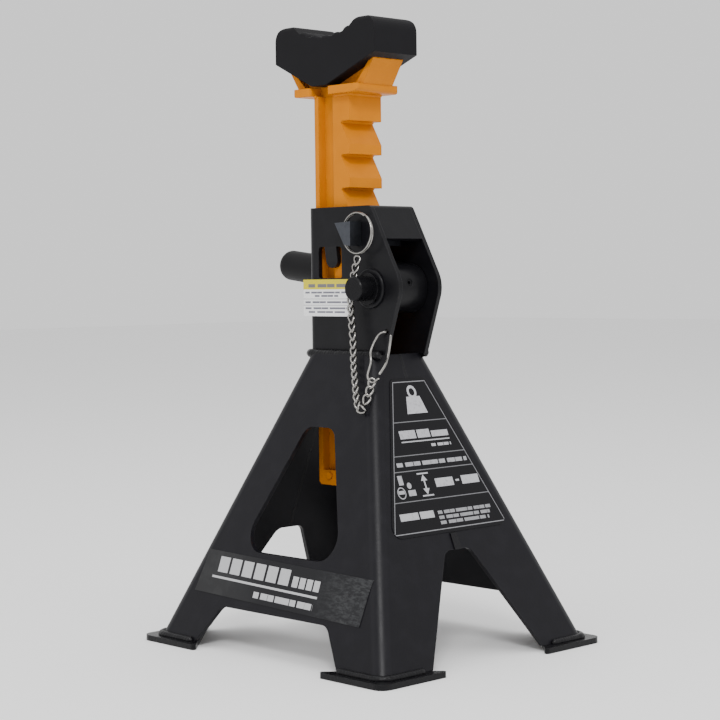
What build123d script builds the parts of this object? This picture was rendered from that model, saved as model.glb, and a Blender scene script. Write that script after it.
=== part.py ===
from build123d import *
from math import acos, atan2, cos, degrees, hypot, pi, radians, sin
import os

# Axle jack stand. Millimetres, Z up, origin on the ground under the middle of the base.
# +X is the toothed, open side of the collar; -Y is the side with the lock pin and the chain.

# ---- base pyramid: two bent sheet halves -------------------------------------------------
BASE_H = 153.3            # height of the pyramid's top edge
BASE_X0, BASE_Y0 = 87.8, 76.0    # half widths at the ground
BASE_R = 7.5              # outside bend radius of the corners
BASE_LEDGE = 3.9          # top edge of the front face beyond the collar's side plate
SHEET = 2.5               # sheet thickness of base and collar
SEAM = 1.6                # root gap of the butt seam between the halves
LEG_X, LEG_Y = 29.3, 32.5        # width of a foot on the front faces and on the end faces
FOOT_T = 3.0              # foot plate thickness
FOOT_LEG = 46.0           # legs of the triangular foot plate
FOOT_OVER = 4.9           # foot plate beyond the leg's faces
INFO_LOW, INFO_HIGH = 64.0, 141.0    # foot and head of the label on the toothed side
# ---- collar ------------------------------------------------------------------------------
COL_H = 76.9              # collar above the base
COL_BACK = -27.9          # outer face of the collar's back web
COL_R = 5.0               # outside bend radius of the channel
TAB_H = 15.0              # how far the side plates reach down inside the base
COVER_RUN = 0.42          # part of the front slope closed by the cover
# ---- ratchet post ------------------------------------------------------------------------
PITCH = 17.5              # tooth pitch, an eighth of the travel
RAISED = 3                # steps the post stands above its lowest
STEPS = 8                 # steps between lowest and highest
TOOTH_LAND = 5.2          # straight part of a tooth's tip
TOOTH_D = 6.5             # depth of a notch
POST_W = 26.9             # post over the tooth tips, along X
POST_Y = 11.6             # half width of the post, along Y
FLANGE = 3.0              # back flange of the post
GROOVE_W = 11.4           # side groove, along X
GROOVE_D = 4.5            # side groove, along Y
BACK_GAP = 0.3            # post to the collar's back web
SIDE_ROOM = 1.5           # post to the side plates, each side
GUIDE_GAP = 0.4           # post to the pressed guide tongues
# ---- pivot, pawl and lever ---------------------------------------------------------------
PIV_UP = 34.1             # pivot above the base
PIV_AHEAD = 18.9          # pivot beyond the tooth tips
SHAFT_R = 6.3
RUN_FIT = 0.05            # radial clearance of shafts in holes
BOSS_R, BOSS_T = 10.3, 1.5
PAWL_R = 13.0             # hub radius
PAWL_NOSE = 25.0          # pivot to nose tip
NOSE_GAP = 0.5            # nose tip to the tooth tips at rest
PAWL_IN = 12.5            # swing from rest into the notch
SIDE_GAP = 0.5            # pawl hub to the side plates
LEVER_LEN = 114.0         # pivot to grip end
LEVER_RISE = 7.0          # lever above horizontal, degrees
LEVER_OUT = 11.4          # lever's centre line beyond the rear plate
GRIP_R, GRIP_L = 8.5, 80.0
# ---- saddle ------------------------------------------------------------------------------
SAD_X = -13.2             # middle of the saddle
PAD_L, PAD_Y = 38.3, 15.4        # half length and half width of the rubber pad
PAD_H = 38.2              # top of the pad above the post
RIB_R = 5.0               # ribs across the pad's valley
# ---- lock pin, ring, chain and clip ------------------------------------------------------
PIN_GAP = 0.5             # lock pin's edge to the tooth tips
PIN_FIT = 0.08            # lock pin in its holes, each side
PIN_OUT = 8.0             # pin head beyond the front plate
RING_R, WIRE = 10.4, 0.6  # split ring's centre radius, and the wire radius of ring, chain and clip
LINK_L, LINK_W = 2.7, 1.85       # half length and half width of a link, to the wire's centre
LINK_PITCH = 4.3

# ---- places tied to the sizes above ------------------------------------------------------
COL_Y = POST_Y + SIDE_ROOM + SHEET        # outer faces of the side plates
COL_TOP = BASE_H + COL_H
BASE_X1, BASE_Y1 = -COL_BACK - SHEET, COL_Y + BASE_LEDGE    # half widths at the top edge
SLOPE_X = (BASE_X0 - BASE_X1) / BASE_H
SLOPE_Y = (BASE_Y0 - BASE_Y1) / BASE_H
POST_X0 = COL_BACK + SHEET + BACK_GAP
TIP_X = POST_X0 + POST_W
ROOT_X = TIP_X - TOOTH_D
PIV_X, PIV_Z = TIP_X + PIV_AHEAD, BASE_H + PIV_UP
PAWL_UP = degrees(acos((PIV_AHEAD - NOSE_GAP) / PAWL_NOSE))    # nose direction above -X at rest
BULGE = (PIV_X + 21.9, PIV_Z + 1.8)       # nose of the side plates around the pivot
COL_TOP_X = PIV_X - 0.1                   # front end of the side plates' top edge
COL_BOT_X = PIV_X + 9.8                   # front end of the side plates at the base
RAMP = PITCH - TOOTH_LAND                 # height of a tooth's ramp
TEETH = RAISED + STEPS - 1                # notches below the highest tooth
TOOTH_TOP = PIV_Z + 17.8 + 4 * PITCH      # underside of the highest tooth
POST_BOT = TOOTH_TOP - TEETH * PITCH - 17.2
POST_TOP = TOOTH_TOP + 14.1
LEVER_Y = COL_Y + LEVER_OUT
V_MID, V_HALF, V_Z = SAD_X - 4.3, 5.6, POST_TOP + 5.1    # flat bottom of the pad's V
END_Z = POST_TOP + 19.1                   # pad's underside at its two ends
HORN_Z = POST_TOP + PAD_H
PIN_X = TIP_X + PIN_GAP
RING_C = (PIN_X + 14.1, COL_TOP - 14.2)   # split ring's centre, X and Z
RING_Y = -COL_Y - 5.0
WINDOW = (COL_BACK + 8.9, COL_BACK + 26.7, COL_TOP - 37.2, COL_TOP - 20.6)
TONGUE = (COL_BACK + 13.6, COL_BACK + 22.5, COL_TOP - 31.8)
CLIP_Z = BASE_H + 11.9
CLIP_X = COL_BOT_X + (BULGE[0] - COL_BOT_X) * (CLIP_Z - BASE_H) / (BULGE[1] - BASE_H) - 2.8
FAR = 2 * BASE_X0                         # beyond every face, for cutting shapes


def prism_xz(points, y0, y1):
    """Polygon given in X and Z, carried from y0 to y1."""
    face = make_face(Polyline(*[(x, y0, z) for x, z in points], close=True))
    return extrude(face, amount=y1 - y0, dir=(0, 1, 0))


def prism_yz(points, x0, x1):
    """Polygon given in Y and Z, carried from x0 to x1."""
    face = make_face(Polyline(*[(x0, y, z) for y, z in points], close=True))
    return extrude(face, amount=x1 - x0, dir=(1, 0, 0))


def rod(a, b, r):
    """Round bar from a to b."""
    axis = Vector(*b) - Vector(*a)
    return extrude(Plane(origin=a, z_dir=axis) * Circle(r), amount=axis.length)


def box(x0, x1, y0, y1, z0, z1):
    return Pos((x0 + x1) / 2, (y0 + y1) / 2, (z0 + z1) / 2) * Box(x1 - x0, y1 - y0, z1 - z0)


def rounded_corners(points, radii):
    """Polygon points with each corner replaced by a short arc of points."""
    out, n = [], len(points)
    for i, (p, r) in enumerate(zip(points, radii)):
        a, b = points[i - 1], points[(i + 1) % n]
        if r == 0:
            out.append(p)
            continue
        la, lb = hypot(a[0] - p[0], a[1] - p[1]), hypot(b[0] - p[0], b[1] - p[1])
        ua = ((a[0] - p[0]) / la, (a[1] - p[1]) / la)
        ub = ((b[0] - p[0]) / lb, (b[1] - p[1]) / lb)
        bis = (ua[0] + ub[0], ua[1] + ub[1])
        bl = hypot(*bis)
        half = atan2(abs(ua[0] * ub[1] - ua[1] * ub[0]), 1 + ua[0] * ub[0] + ua[1] * ub[1])
        c = (p[0] + bis[0] / bl * r / sin(half), p[1] + bis[1] / bl * r / sin(half))
        t = r / (sin(half) / cos(half))
        s, e = (p[0] + ua[0] * t, p[1] + ua[1] * t), (p[0] + ub[0] * t, p[1] + ub[1] * t)
        a0, a1 = atan2(s[1] - c[1], s[0] - c[0]), atan2(e[1] - c[1], e[0] - c[0])
        turn = (a1 - a0 + pi) % (2 * pi) - pi
        out += [(c[0] + r * cos(a0 + turn * k / 8), c[1] + r * sin(a0 + turn * k / 8)) for k in range(9)]
    return out


# ------------------------------------------------------------------------------------ base
def half_x(z, grow=0.0):
    """Half width of the pyramid along X at height z, with its faces moved out by grow."""
    return BASE_X0 - SLOPE_X * z + grow * hypot(1, SLOPE_X)


def half_y(z, grow=0.0):
    return BASE_Y0 - SLOPE_Y * z + grow * hypot(1, SLOPE_Y)


def frustum(grow, z0, z1):
    """The pyramid between two heights, its faces moved out by grow."""
    rims = []
    for z in (z0, z1):
        rim = RectangleRounded(2 * half_x(z, grow), 2 * half_y(z, grow), max(BASE_R + grow, 1.5))
        rims.append(Pos(0, 0, z) * rim)
    return loft(rims)


def mirrored(points):
    """Closed outline from its right half, listed bottom to top."""
    return points + [(-x, z) for x, z in reversed(points)]


def base_cutters():
    """The large front and rear openings and the four notches between the feet."""
    opening = mirrored([(38.8, BASE_H / 3), (10.5, BASE_H - 37.3)])
    wide = mirrored([(BASE_X0 - LEG_X, -2.0), (BASE_X0 - LEG_X - 18.0, 22.5)])
    tall = mirrored([(BASE_Y0 - LEG_Y, -2.0), (9.0, 55.4)])
    cut = prism_xz(rounded_corners(opening, [11, 8, 8, 11]), -FAR, FAR)
    cut += prism_xz(rounded_corners(wide, [0, 7, 7, 0]), -FAR, FAR)
    return cut + prism_yz(rounded_corners(tall, [0, 6, 6, 0]), -FAR, FAR)


CUT = base_cutters()
OUTER = frustum(0, 0, BASE_H)


def post_way():
    """Clear way for the post through the top of the base."""
    x, y = POST_X0 - BACK_GAP, POST_Y + GUIDE_GAP
    return box(x, TIP_X + 1, -y, y, BASE_H - 20, BASE_H + 5)


def shell():
    """Bare sheet of the whole pyramid with its openings."""
    inner = frustum(-SHEET, -1, BASE_H + 1)
    return frustum(0, FOOT_T, BASE_H) - inner - CUT - post_way()


def base_half(side):
    """side -1 is the front half, 1 the rear half."""
    y = sorted((side * SEAM / 2, side * FAR))
    return shell() & box(-FAR, FAR, y[0], y[1], -5, BASE_H + 5)


def seam_welds():
    """A butt bead in the middle of each end face."""
    crown = frustum(0.7, FOOT_T, BASE_H) - OUTER - CUT
    crown &= box(-FAR, FAR, -2.4, 2.4, 0, BASE_H + 5)
    crown -= post_way() + box(0, FAR, -5, 5, INFO_LOW - 0.5, BASE_H + 5)
    root = shell() & box(-FAR, FAR, -SEAM / 2, SEAM / 2, -5, BASE_H + 5)
    return root + crown


def foot_plate(sx, sy):
    """Triangular plate under one leg, its right angle outwards."""
    x, y = BASE_X0 + FOOT_OVER, BASE_Y0 + FOOT_OVER
    pts = rounded_corners([(x, y), (x - FOOT_LEG, y), (x, y - FOOT_LEG)], [6, 1.5, 1.5])
    face = make_face(Polyline(*[(sx * a, sy * b, 0) for a, b in pts], close=True))
    return extrude(face, amount=FOOT_T, dir=(0, 0, 1))


def foot_welds():
    """A fillet bead round the bottom of each leg."""
    rims = []
    for z, g in ((FOOT_T, 2.4), (FOOT_T + 2.4, 0.2)):
        rims.append(Pos(0, 0, z) * RectangleRounded(2 * (half_x(z) + g), 2 * (half_y(z) + g), BASE_R + g))
    bead = loft(rims) - OUTER
    beads = []
    for sx in (-1, 1):
        for sy in (-1, 1):
            x = sorted((sx * (BASE_X0 - LEG_X - 2.2), sx * FAR))
            y = sorted((sy * (BASE_Y0 - LEG_Y + 1.5), sy * FAR))
            beads.append(bead & box(*x, *y, 0, 20) - CUT)
    return beads


# ---------------------------------------------------------------------------------- collar
def plate_outline():
    """Side plate outline in X and Z, from the back web to the pivot nose."""
    pts = [(COL_BACK, BASE_H), (COL_BACK, COL_TOP), (COL_TOP_X, COL_TOP), BULGE, (COL_BOT_X, BASE_H)]
    return rounded_corners(pts, [0, 0, 3.0, 16.0, 0])


def pin_outline(grow):
    """Wedge section of the lock pin, its sharp edge clear of the tooth tips."""
    x, z, g = PIN_X, COL_TOP, grow
    return [(x - 1.5 * g, z - 8.7 + g), (x + 11.6 + g, z - 8.2 + g),
            (x + 11.5 + g, z - 20.8 - g), (x + 6.9 - g, z - 20.2 - g)]


def guide_tongue(side):
    """Tongue pressed inwards from the window's top edge to guide the post's side."""
    inner = POST_Y + GUIDE_GAP
    yo, yi, top, low = COL_Y, COL_Y - SHEET, WINDOW[3], TONGUE[2]
    pts = [(yo, top + 2), (yi, top + 2), (yi, top), (inner, low + 3), (inner, low),
           (inner + SHEET, low), (inner + SHEET, low + 3), (yo, top)]
    bar = prism_yz([(side * y, z) for y, z in pts], TONGUE[0], TONGUE[1])
    mid, half = (TONGUE[0] + TONGUE[1]) / 2, (TONGUE[1] - TONGUE[0]) / 2
    tip = rod((mid, -20, low + half), (mid, 20, low + half), half)
    return bar & (tip + box(TONGUE[0], TONGUE[1], -20, 20, low + half, COL_TOP))


def window_cut(side):
    """Slot round the tongue, with round upper ends."""
    x0, x1, z0, z1 = WINDOW
    y = sorted((side * (COL_Y - SHEET - 1), side * (COL_Y + 1)))
    outline = rounded_corners([(x0, z0), (x0, z1), (x1, z1), (x1, z0)], [1, 2, 2, 1])
    return prism_xz(outline, y[0], y[1])


def collar_channel():
    """U-shaped sheet: back web and two side plates with every hole they carry."""
    body = prism_xz(plate_outline(), -COL_Y, COL_Y)
    body = fillet(body.edges().filter_by(Axis.Z).group_by(Axis.X)[0], COL_R)
    core = box(COL_BACK + SHEET, FAR, -COL_Y + SHEET, COL_Y - SHEET, BASE_H - TAB_H - 5, COL_TOP + 5)
    core = fillet(core.edges().filter_by(Axis.Z).group_by(Axis.X)[0], COL_R - SHEET)
    body -= core
    tab_x = BASE_X1 - 1.1 * SHEET - 2
    for side in (-1, 1):
        y = sorted((side * COL_Y, side * (COL_Y - SHEET)))
        body += box(-tab_x, tab_x, y[0], y[1], BASE_H - TAB_H, BASE_H + 1)
        body -= window_cut(side)
        body += guide_tongue(side)
    body -= rod((PIV_X, -30, PIV_Z), (PIV_X, 30, PIV_Z), SHAFT_R + RUN_FIT)
    body -= prism_xz(pin_outline(PIN_FIT), -30, 30)
    body -= rod((CLIP_X, -30, CLIP_Z), (CLIP_X, 0, CLIP_Z), 1.6)
    return body


def collar_cover():
    """Folded plate that joins the side plates over the teeth's side."""
    back, run = 6.0, (BULGE[0] - COL_TOP_X, BULGE[1] - COL_TOP)
    end = (COL_TOP_X + COVER_RUN * run[0], COL_TOP + COVER_RUN * run[1])
    inward = (SHEET * run[1] / hypot(*run), -SHEET * run[0] / hypot(*run))
    pts = [(COL_TOP_X - back, COL_TOP), (COL_TOP_X, COL_TOP), end, (end[0] + inward[0], end[1] + inward[1]),
           (COL_TOP_X - SHEET * 0.5, COL_TOP - SHEET), (COL_TOP_X - back, COL_TOP - SHEET)]
    return prism_xz(rounded_corners(pts, [0, 3, 0, 0, 1, 0]), -COL_Y + SHEET, COL_Y - SHEET)


def collar_weld():
    """Bead between the base's top edge and the collar, open on the toothed side."""
    r, x0, x1 = 2.4, COL_BACK - 0.4, COL_BOT_X - 1.5
    y = COL_Y + 1.6
    path = FilletPolyline((x1, -y, BASE_H), (x0, -y, BASE_H), (x0, y, BASE_H), (x1, y, BASE_H), radius=6)
    bead = sweep(Plane(origin=(x1, -y, BASE_H), z_dir=(-1, 0, 0)) * Circle(r), path=path)
    bead = bead - OUTER - box(COL_BACK + 0.1, FAR, -COL_Y, COL_Y, 0, COL_TOP)
    return bead - prism_xz(plate_outline(), -COL_Y, COL_Y)


def pivot_boss(side):
    """Raised ring on the side plate round the shaft."""
    y0, y1 = side * COL_Y, side * (COL_Y + BOSS_T)
    ring = rod((PIV_X, y0, PIV_Z), (PIV_X, y1, PIV_Z), BOSS_R)
    rim = ring.edges().filter_by(GeomType.CIRCLE).sort_by(Axis.Y)[0 if side < 0 else -1]
    ring = fillet(rim, 0.9)
    return ring - rod((PIV_X, y0 - side, PIV_Z), (PIV_X, y1 + side, PIV_Z), SHAFT_R + RUN_FIT)


# ------------------------------------------------------------------- pawl, shaft and lever
def about_pivot(points, turn):
    """Turn X-Z points about the pivot, nose upwards, by turn degrees."""
    c, s = cos(radians(turn)), sin(radians(turn))
    rel = [(x - PIV_X, z - PIV_Z) for x, z in points]
    return [(PIV_X + c * x + s * z, PIV_Z - s * x + c * z) for x, z in rel]


def pawl_pin(r, start=-9.0, end=12.6):
    """Cross pin through hub and shaft."""
    a = radians(13)
    p, q = ((PIV_X + d * cos(a), 0, PIV_Z + d * sin(a)) for d in (start, end))
    return rod(p, q, r)


def pawl():
    """Hub with a nose whose flat top carries the tooth above it."""
    low = radians(PAWL_UP - PAWL_IN)
    tip = (PIV_X - PAWL_NOSE * cos(low), PIV_Z + PAWL_NOSE * sin(low))
    nose = [(PIV_X, PIV_Z + PAWL_R - 0.3), (PIV_X, PIV_Z), (PIV_X - 8, PIV_Z - 9.5),
            (tip[0] + 4.4, tip[1] - 7.6), (tip[0] + 0.3, tip[1] - 0.6), (tip[0] + 0.6, tip[1])]
    width = COL_Y - SHEET - SIDE_GAP
    body = prism_xz(about_pivot(nose, PAWL_IN), -POST_Y + 1, POST_Y - 1)
    body += rod((PIV_X, -width, PIV_Z), (PIV_X, width, PIV_Z), PAWL_R)
    body -= box(PIV_X - 20, PIV_X + 30, -20, 20, PIV_Z - 37, PIV_Z - 12.8)
    flat = [(PIV_X + 12.2, PIV_Z - 5.2), (PIV_X + 7.2, PIV_Z - 12.8), (PIV_X + 16, PIV_Z - 12.8)]
    body -= prism_xz(flat, -20, 20)
    body -= rod((PIV_X, -20, PIV_Z), (PIV_X, 20, PIV_Z), SHAFT_R)
    return body - pawl_pin(2.0, -9.0, 14.0)


def lever_point(distance):
    a = radians(LEVER_RISE)
    return (PIV_X - distance * cos(a), LEVER_Y, PIV_Z + distance * sin(a))


def lever_rod():
    """Pivot shaft and lever, one bent bar."""
    start = (PIV_X, -COL_Y - 13.1, PIV_Z)
    path = FilletPolyline(start, (PIV_X, LEVER_Y, PIV_Z), lever_point(LEVER_LEN - 4), radius=9)
    bar = sweep(Plane(origin=start, z_dir=(0, 1, 0)) * Circle(SHAFT_R), path=path)
    end = bar.edges().filter_by(GeomType.CIRCLE).sort_by(Axis.Y)[0]
    return chamfer(end, 0.6) - pawl_pin(2.0)


def lever_grip():
    """Closed sleeve over the lever's end."""
    grip = rod(lever_point(LEVER_LEN - GRIP_L), lever_point(LEVER_LEN), GRIP_R)
    rim = grip.edges().filter_by(GeomType.CIRCLE).sort_by(Axis.X)
    grip = fillet(rim[0], 5.0)
    return grip - rod(lever_point(10), lever_point(LEVER_LEN - 4), SHAFT_R)


def thrust_ring():
    """Ring on the shaft in front of the front boss."""
    y1 = -COL_Y - BOSS_T - 0.2
    y0 = y1 - 1.6
    ring = rod((PIV_X, y0, PIV_Z), (PIV_X, y1, PIV_Z), 8.2)
    return ring - rod((PIV_X, y0 - 1, PIV_Z), (PIV_X, y1 + 1, PIV_Z), SHAFT_R)


# -------------------------------------------------------------------------- post and saddle
def rack_outline():
    """Post seen from the side: plain back, flat-bottomed teeth on the front."""
    pts = [(POST_X0, POST_BOT), (POST_X0, POST_TOP), (TIP_X, POST_TOP), (TIP_X, TOOTH_TOP)]
    for k in range(TEETH):
        z = TOOTH_TOP - PITCH * k
        pts += [(ROOT_X + 0.9, z), (ROOT_X, z - 0.9), (TIP_X, z - RAMP)]
        if k < TEETH - 1:
            pts.append((TIP_X, z - PITCH))
    return pts + [(TIP_X, POST_BOT)]


def ratchet_post():
    """Cast bar with side grooves and a toothed front flange."""
    bar = prism_xz(rack_outline(), -POST_Y, POST_Y)
    x0, x1 = POST_X0 + FLANGE, POST_X0 + FLANGE + GROOVE_W
    for side in (-1, 1):
        depth = POST_Y - GROOVE_D
        pts = [(x0, side * (POST_Y + 1)), (x0 + 0.6, side * depth),
               (x1 - 1.2, side * depth), (x1, side * (POST_Y + 1))]
        face = make_face(Polyline(*[(x, y, POST_BOT + 8) for x, y in pts], close=True))
        bar -= extrude(face, amount=POST_TOP - POST_BOT, dir=(0, 0, 1))
    bar = chamfer(bar.edges().group_by(Axis.Z)[0].filter_by(Axis.Y), 1.5)
    return bar - rod(stop_ends()[0], stop_ends()[1], 2.0)


def stop_ends():
    x, z, y = POST_X0 + 8.5, POST_BOT + 5, COL_Y - SHEET - 0.5
    return (x, -y, z), (x, y, z)


def cradle_arm(side):
    """Arm from the saddle plate to the end of the pad's underside."""
    far, near = PAD_L - 5.5, PAD_L - 9.3
    high, low = under_pad(SAD_X + side * far), under_pad(SAD_X + side * near)
    out = [(far - 7.9, POST_TOP + 4.5), (far, high), (near, low), (near - 10.1, POST_TOP + 4.5),
           (near - 10.1, POST_TOP + 1), (far - 11.3, POST_TOP + 1)]
    return prism_xz([(SAD_X + side * x, z) for x, z in out], -POST_Y + 0.8, POST_Y - 0.8)


def under_pad(x):
    """Height of the pad's V-shaped underside."""
    run = abs(x - V_MID) - V_HALF
    if run <= 0:
        return V_Z
    span = (SAD_X + PAD_L - V_MID if x > V_MID else V_MID - SAD_X + PAD_L) - V_HALF
    return V_Z + (END_Z - V_Z) * run / span


def saddle_cradle():
    """Plate with rounded lips, a central web under the pad and two arms."""
    z0, z1, half = POST_TOP, POST_TOP + 4.4, PAD_L - 13.4
    x0, x1, depth = POST_X0 + 0.6, POST_X0 + FLANGE + GROOVE_W - 1.0, PAD_Y - POST_Y + GROOVE_D
    plan = Pos(SAD_X, 0) * Rectangle(2 * half, 2 * PAD_Y)
    for side in (-1, 1):
        plan -= Pos((x0 + x1) / 2, side * (PAD_Y - depth / 2)) * Rectangle(x1 - x0, depth)
    plan = fillet([v for v in plan.vertices() if abs(abs(v.Y) - PAD_Y) < 0.01], 2.2)
    ends = [(SAD_X - half, z0), (SAD_X + half, z0), (SAD_X + half, z1), (SAD_X - half, z1)]
    plate = extrude(Pos(0, 0, z0) * plan, amount=z1 - z0)
    plate &= prism_xz(rounded_corners(ends, [3.2, 3.2, 1.0, 1.0]), -PAD_Y, PAD_Y)
    end = PAD_L - 8.3
    web = [(SAD_X - half + 2.9, z1 - 1), (SAD_X + half - 2.9, z1 - 1), (SAD_X + end, under_pad(SAD_X + end)),
           (V_MID + V_HALF, V_Z), (V_MID - V_HALF, V_Z), (SAD_X - end, under_pad(SAD_X - end))]
    plate += prism_xz(web, -POST_Y + GROOVE_D, POST_Y - GROOVE_D)
    return plate + cradle_arm(-1) + cradle_arm(1)


def cradle_weld():
    """Bead round the post's top, under the saddle plate."""
    r = 1.3
    x0, x1 = POST_X0 + FLANGE + GROOVE_W + 0.8, TIP_X
    beads = []
    for side in (-1, 1):
        beads.append(rod((x0, side * POST_Y, POST_TOP), (x1, side * POST_Y, POST_TOP), r))
        beads.append(rod((POST_X0, side * POST_Y, POST_TOP), (POST_X0 + 2, side * POST_Y, POST_TOP), r))
    beads.append(rod((x1, -POST_Y, POST_TOP), (x1, POST_Y, POST_TOP), r))
    weld = beads[0] + beads[1] + beads[2] + beads[3] + beads[4]
    weld &= box(-60, 40, -30, 30, POST_TOP - 3, POST_TOP)
    return weld - box(POST_X0, TIP_X, -POST_Y, POST_Y, POST_TOP - 5, POST_TOP + 1)


def saddle_pad():
    """Rubber pad: V-shaped underside, two horns and five ribs across the valley."""
    x0, x1, inner = SAD_X - PAD_L, SAD_X + PAD_L, PAD_L - 13.5
    low, mid, high = HORN_Z - 8.6, HORN_Z - 7.9, HORN_Z - 5.4
    valley = [(SAD_X + 18, high), (SAD_X + 9, mid), (SAD_X, low), (SAD_X - 9, mid), (SAD_X - 18, high)]
    outline = [(x0, END_Z), (V_MID - V_HALF, V_Z), (V_MID + V_HALF, V_Z), (x1, END_Z), (x1, HORN_Z),
               (SAD_X + inner, HORN_Z), *valley, (SAD_X - inner, HORN_Z), (x0, HORN_Z)]
    pad = prism_xz(rounded_corners(outline, [0, 3, 3, 0, 7.5, 5, 0, 0, 0, 0, 0, 5, 7.5]), -PAD_Y, PAD_Y)
    for k in range(-2, 3):
        x, z = SAD_X + 8.9 * k, HORN_Z - (6.9, 6.2, 3.8)[abs(k)] - RIB_R
        rib = rod((x, -PAD_Y + 0.2, z), (x, PAD_Y - 0.2, z), RIB_R)
        pad += fillet(rib.edges().filter_by(GeomType.CIRCLE), 1.6)
    across = [(-PAD_Y, V_Z - 1), (-PAD_Y, HORN_Z), (PAD_Y, HORN_Z), (PAD_Y, V_Z - 1)]
    return pad & prism_yz(rounded_corners(across, [0, 2.5, 2.5, 0]), x0 - 1, x1 + 1)


# --------------------------------------------------------- lock pin, ring, chain and clip
def torus(center, axis, big, small):
    return Plane(origin=center, z_dir=axis) * Torus(big, small)


def lock_pin():
    """Wedge bar through both side plates, with a hole for the ring in its head."""
    bar = prism_xz(pin_outline(0), -COL_Y - PIN_OUT, COL_Y + 1.5)
    return bar - torus((RING_C[0], RING_Y, RING_C[1]), (0, 1, 0), RING_R, 2 * WIRE + 0.35)


def split_ring():
    """Two coils of wire side by side."""
    coils = []
    for y in (RING_Y - WIRE, RING_Y + WIRE):
        coils.append(torus((RING_C[0], y, RING_C[1]), (0, 1, 0), RING_R, WIRE))
    return coils


def chain_path():
    """Points of the long strand, from the ring down to the lowest link."""
    x, z = RING_C[0], RING_C[1] - RING_R
    path = [(x, RING_Y, z - 1.9), (x - 2.6, RING_Y - 0.6, z - 11), (x - 4.8, RING_Y - 0.9, z - 20),
            (x - 5.0, RING_Y - 0.9, z - 28), (x - 4.2, RING_Y - 0.9, z - 36),
            (x - 2.6, RING_Y - 1.4, BASE_H + 6.5)]
    for over, low in ((-0.4, 2.8), (4.2, 12.3), (8.8, 21.8), (12.4, 27.1), (16.0, 26.7)):
        path.append(on_face(x + over, BASE_H - low, 3.4))
    return path


def on_face(x, z, gap):
    """Point that floats gap outside the base's front face."""
    return (x, -half_y(z, gap), z)


CLIP_LOW = on_face(CLIP_X + 2.4, BASE_H - 13.1, 3.4)
SHORT_PATH = (on_face(CLIP_X + 0.4, BASE_H - 23.9, 3.6), on_face(CLIP_X + 1.6, BASE_H - 19.3, 3.6),
              (CLIP_LOW[0] - 0.3, CLIP_LOW[1], CLIP_LOW[2] + 1.4))


def link(center, direction, roll):
    """Stadium-shaped link lying along direction and turned by roll about it."""
    d = Vector(*direction).normalized()
    side = d.cross(Vector(0, 1, 0)).normalized().rotate(Axis((0, 0, 0), tuple(d)), roll)
    plane = Plane(origin=center, x_dir=d, z_dir=d.cross(side))
    a, b = LINK_L - LINK_W, LINK_W
    loop = Wire([Edge.make_line((-a, -b, 0), (a, -b, 0)),
                 Edge.make_three_point_arc((a, -b, 0), (a + b, 0, 0), (a, b, 0)),
                 Edge.make_line((a, b, 0), (-a, b, 0)),
                 Edge.make_three_point_arc((-a, b, 0), (-a - b, 0, 0), (-a, -b, 0))])
    ring = sweep(Plane(origin=(0, -b, 0), z_dir=(1, 0, 0)) * Circle(WIRE), path=loop)
    return plane * ring


def strand(points):
    """Links spaced evenly along a line of points, alternately turned."""
    lengths = [0.0]
    for p, q in zip(points, points[1:]):
        lengths.append(lengths[-1] + (Vector(*q) - Vector(*p)).length)
    count = round(lengths[-1] / LINK_PITCH)
    step = lengths[-1] / count

    def at(s):
        for i in range(len(points) - 1):
            if s <= lengths[i + 1] or i == len(points) - 2:
                t = (s - lengths[i]) / (lengths[i + 1] - lengths[i])
                p, q = Vector(*points[i]), Vector(*points[i + 1])
                return p + (q - p) * t
    links = []
    for k in range(count):
        s = (k + 0.5) * step
        a, b = at(s - step / 2), at(s + step / 2)
        links.append(link(tuple((a + b) * 0.5), tuple(b - a), 45 if k % 2 else -45))
    return links


def snap_clip():
    """Bent wire loop from the plate's hole down to the chain."""
    hx, hz, y = CLIP_X, CLIP_Z, -COL_Y - 1.6
    x, low_y, z = CLIP_LOW[0], CLIP_LOW[1] - 0.35, CLIP_LOW[2]
    path = [(hx, -COL_Y + 4.2, hz), (hx, y - 0.4, hz), (hx - 4.2, y - 1.2, hz - 2.4),
            (hx - 5.6, y - 4.4, hz - 9.5), on_face(hx - 4.4, BASE_H - 3.3, 1.9), (x - 3.6, low_y, z + 2.8),
            (x, low_y, z - 0.15), (x + 4.8, low_y, z + 2.1)]
    bent = FilletPolyline(*path, radius=1.25)
    return sweep(Plane(origin=path[0], z_dir=(0, -1, 0)) * Circle(WIRE), path=bent)


def clip_clasp():
    """Spring arm of the clip, hooked round the plate's edge."""
    hx, hz, y = CLIP_X, CLIP_Z, -COL_Y - 1.6
    x, low_y, z = CLIP_LOW
    path = [(x + 4.9, low_y - 0.35, z + 4.0), on_face(x + 4.6, BASE_H - 4.3, 2.3),
            (hx + 4.4, y - 1.6, hz - 12.0), (hx + 5.2, y - 0.9, hz - 5.4), (hx + 5.4, y - 0.6, hz - 1.2)]
    bent = FilletPolyline(*path, radius=1.5)
    return sweep(Plane(origin=path[0], z_dir=Vector(*path[1]) - Vector(*path[0])) * Circle(WIRE), path=bent)


# ---------------------------------------------------------------------------------- labels
def face_label(points, axis):
    """Thin label on the base's front face (axis "y") or toothed-side face (axis "x")."""
    t = 0.35
    skin = frustum(t, 5, BASE_H) - OUTER - CUT
    if axis == "y":
        return skin & prism_xz(points, -FAR, -10)
    return skin & prism_yz(points, 20, FAR)


def band_label():
    """Slightly askew band across the front face."""
    pts = [(11.3, 28.2, -1), (6.6, 49.6, -1), (4.2, 46.6, 1), (14.7, 24.6, 1)]
    return face_label([(side * (half_x(z) - inset), z) for inset, z, side in pts], "y")


def info_label():
    low, high = half_y(INFO_LOW) - 9.4, half_y(INFO_HIGH) - 11.3
    pts = [(-low, INFO_LOW), (-high, INFO_HIGH), (high, INFO_HIGH), (low, INFO_LOW)]
    return face_label(rounded_corners(pts, [5, 4, 4, 5]), "x")


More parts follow.
